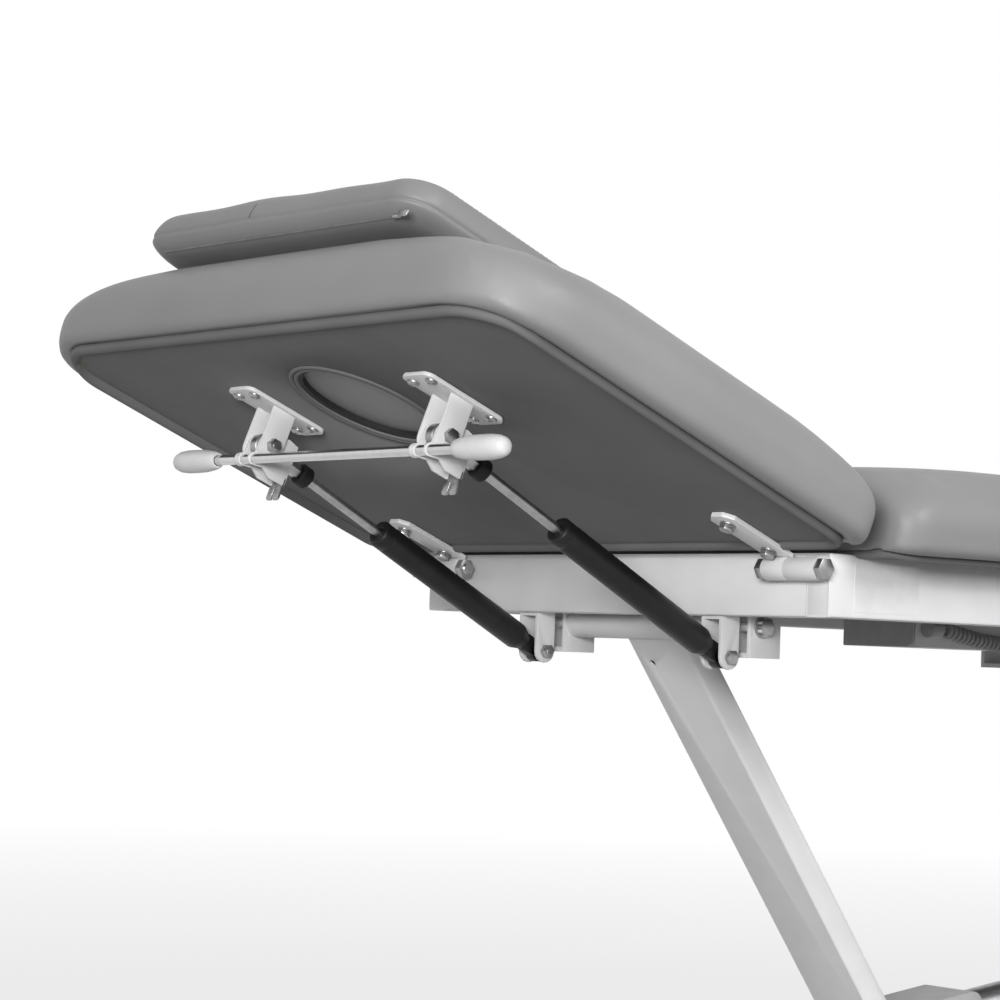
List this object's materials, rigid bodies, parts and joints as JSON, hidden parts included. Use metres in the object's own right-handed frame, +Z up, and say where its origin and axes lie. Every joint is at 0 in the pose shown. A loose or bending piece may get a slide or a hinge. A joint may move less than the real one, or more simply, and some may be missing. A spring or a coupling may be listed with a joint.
{
  "type": "treatment bed",
  "caption": "Height-adjustable spa treatment bed with tilting head section on lockable gas springs, release bar, face hole, pillow and white steel lift frame.",
  "frame": {"origin": "on the floor, under the middle of the bed's length and width", "axes": "+Z up, head section towards -X, foot end towards +X, hand control on the -Y side"},
  "size_m": [1.8694, 0.756, 0.9815],
  "materials": {
    "white_paint": "smooth white powder coat",
    "pad_vinyl": "soft grey upholstery vinyl, satin",
    "underside_cloth": "dark grey lining cloth",
    "board_wood": "plain plywood",
    "zinc_steel": "bright zinc plate",
    "chrome": "polished",
    "black_rubber": "matt black",
    "black_paint": "satin black",
    "white_plastic": "smooth white",
    "grey_plastic": "fine grey",
    "cord_plastic": "light grey cord sheath"
  },
  "bodies": {
    "base": {"left_floor_rail": "white_paint", "right_floor_rail": "white_paint", "floor_head_tube": "white_paint", "floor_middle_tube": "white_paint", "floor_foot_tube": "white_paint", "actuator_lug": "white_paint", "head_left_levelling_foot": "black_rubber", "head_right_levelling_foot": "black_rubber", "foot_left_levelling_foot": "black_rubber", "foot_right_levelling_foot": "black_rubber"},
    "head_arm": {"head_lift_arm": "white_paint"},
    "foot_arm": {"foot_lift_arm": "white_paint"},
    "actuator_body": {"actuator_motor": "grey_plastic", "actuator_tube": "white_paint"},
    "actuator_ram": {"actuator_rod": "chrome"},
    "upper_frame": {"head_cross_tube": "white_paint", "middle_cross_tube": "white_paint", "foot_cross_tube": "white_paint", "left_side_rail": "white_paint", "right_side_rail": "white_paint", "left_hinge_bolt": "zinc_steel", "right_hinge_bolt": "zinc_steel", "left_clevis_bolt": "zinc_steel", "right_clevis_bolt": "zinc_steel", "body_pad": "pad_vinyl", "body_board": "board_wood", "body_underside": "underside_cloth", "control_box": "white_plastic", "control_box_cover": "grey_plastic", "cord_gland": "cord_plastic", "handset_cord": "cord_plastic", "handset": "grey_plastic", "handset_hook": "zinc_steel"},
    "up_button": {"handset_up_button": "white_plastic"},
    "down_button": {"handset_down_button": "white_plastic"},
    "head_section": {"head_pad": "pad_vinyl", "head_board": "board_wood", "head_underside": "underside_cloth", "face_hole_plug": "pad_vinyl", "head_pillow": "pad_vinyl", "left_spring_bracket": "white_paint", "right_spring_bracket": "white_paint", "left_bracket_bolt": "zinc_steel", "right_bracket_bolt": "zinc_steel", "left_hinge_arm": "white_paint", "right_hinge_arm": "white_paint"},
    "release": {"left_release_lever": "white_paint", "right_release_lever": "white_paint", "release_bar": "chrome", "left_release_grip": "white_plastic", "right_release_grip": "white_plastic"},
    "left_cylinder": {"left_spring_cylinder": "black_paint"},
    "right_cylinder": {"right_spring_cylinder": "black_paint"},
    "left_ram": {"left_spring_rod": "chrome", "left_spring_bumper": "black_rubber"},
    "right_ram": {"right_spring_rod": "chrome", "right_spring_bumper": "black_rubber"}
  },
  "joints": [
    {"name": "lift_hinge", "type": "hinge", "parent": "base", "child": "head_arm", "pos_m": [-0.04492, 0, 0.12], "axis": [0, 1, 0], "range_deg": [-35, 9]},
    {"name": "frame_level", "type": "hinge", "parent": "head_arm", "child": "upper_frame", "pos_m": [-0.40601, 0, 0.59918], "axis": [0, 1, 0], "range_deg": [-9, 35]},
    {"name": "foot_arm_hinge", "type": "hinge", "parent": "base", "child": "foot_arm", "pos_m": [0.65508, 0, 0.12], "axis": [0, 1, 0], "range_deg": [-35, 9]},
    {"name": "actuator_swing", "type": "hinge", "parent": "base", "child": "actuator_body", "pos_m": [0.02669, 0.078, 0.15], "axis": [0, 1, 0], "range_deg": [-0.9, 0.3]},
    {"name": "actuator_extend", "type": "slide", "parent": "actuator_body", "child": "actuator_ram", "axis": [0.9913, 0, 0.1315], "range_m": [-0.072, 0.02]},
    {"name": "head_tilt", "type": "hinge", "parent": "upper_frame", "child": "head_section", "pos_m": [-0.47331, 0, 0.65318], "axis": [0, 1, 0], "range_deg": [-21.8, 18]},
    {"name": "left_spring_swing", "type": "hinge", "parent": "upper_frame", "child": "left_cylinder", "pos_m": [-0.44381, 0.138, 0.56848], "axis": [0, 1, 0], "range_deg": [-18.8, 15.6]},
    {"name": "right_spring_swing", "type": "hinge", "parent": "upper_frame", "child": "right_cylinder", "pos_m": [-0.44381, -0.138, 0.56848], "axis": [0, 1, 0], "range_deg": [-18.8, 15.6]},
    {"name": "left_spring_extend", "type": "slide", "parent": "left_cylinder", "child": "left_ram", "axis": [-0.8845, 0, 0.4665], "range_m": [-0.0236, 0.0196]},
    {"name": "right_spring_extend", "type": "slide", "parent": "right_cylinder", "child": "right_ram", "axis": [-0.8845, 0, 0.4665], "range_m": [-0.0236, 0.0196]},
    {"name": "release_swing", "type": "hinge", "parent": "head_section", "child": "release", "pos_m": [-0.80112, 0, 0.75694], "axis": [0, 1, 0], "range_deg": [0, 10], "stiffness_Nm_per_rad": 12, "springref_deg": -5.73},
    {"name": "up_button_press", "type": "slide", "parent": "upper_frame", "child": "up_button", "axis": [0, 1, 0], "range_m": [0, 0.0012], "stiffness_N_per_m": 300, "springref_m": -0.001},
    {"name": "down_button_press", "type": "slide", "parent": "upper_frame", "child": "down_button", "axis": [0, 1, 0], "range_m": [0, 0.0012], "stiffness_N_per_m": 300, "springref_m": -0.001}
  ],
  "couplings": [
    {"joint": "frame_level", "follows": "lift_hinge", "ratio": -1},
    {"joint": "foot_arm_hinge", "follows": "lift_hinge", "ratio": 1},
    {"joint": "actuator_swing", "follows": "lift_hinge", "ratio": 0.024},
    {"joint": "actuator_extend", "follows": "lift_hinge", "m_per_rad": 0.114},
    {"joint": "left_spring_swing", "follows": "head_tilt", "ratio": 0.848},
    {"joint": "right_spring_swing", "follows": "head_tilt", "ratio": 0.848},
    {"joint": "left_spring_extend", "follows": "head_tilt", "m_per_rad": 0.062},
    {"joint": "right_spring_extend", "follows": "head_tilt", "m_per_rad": 0.062}
  ]
}
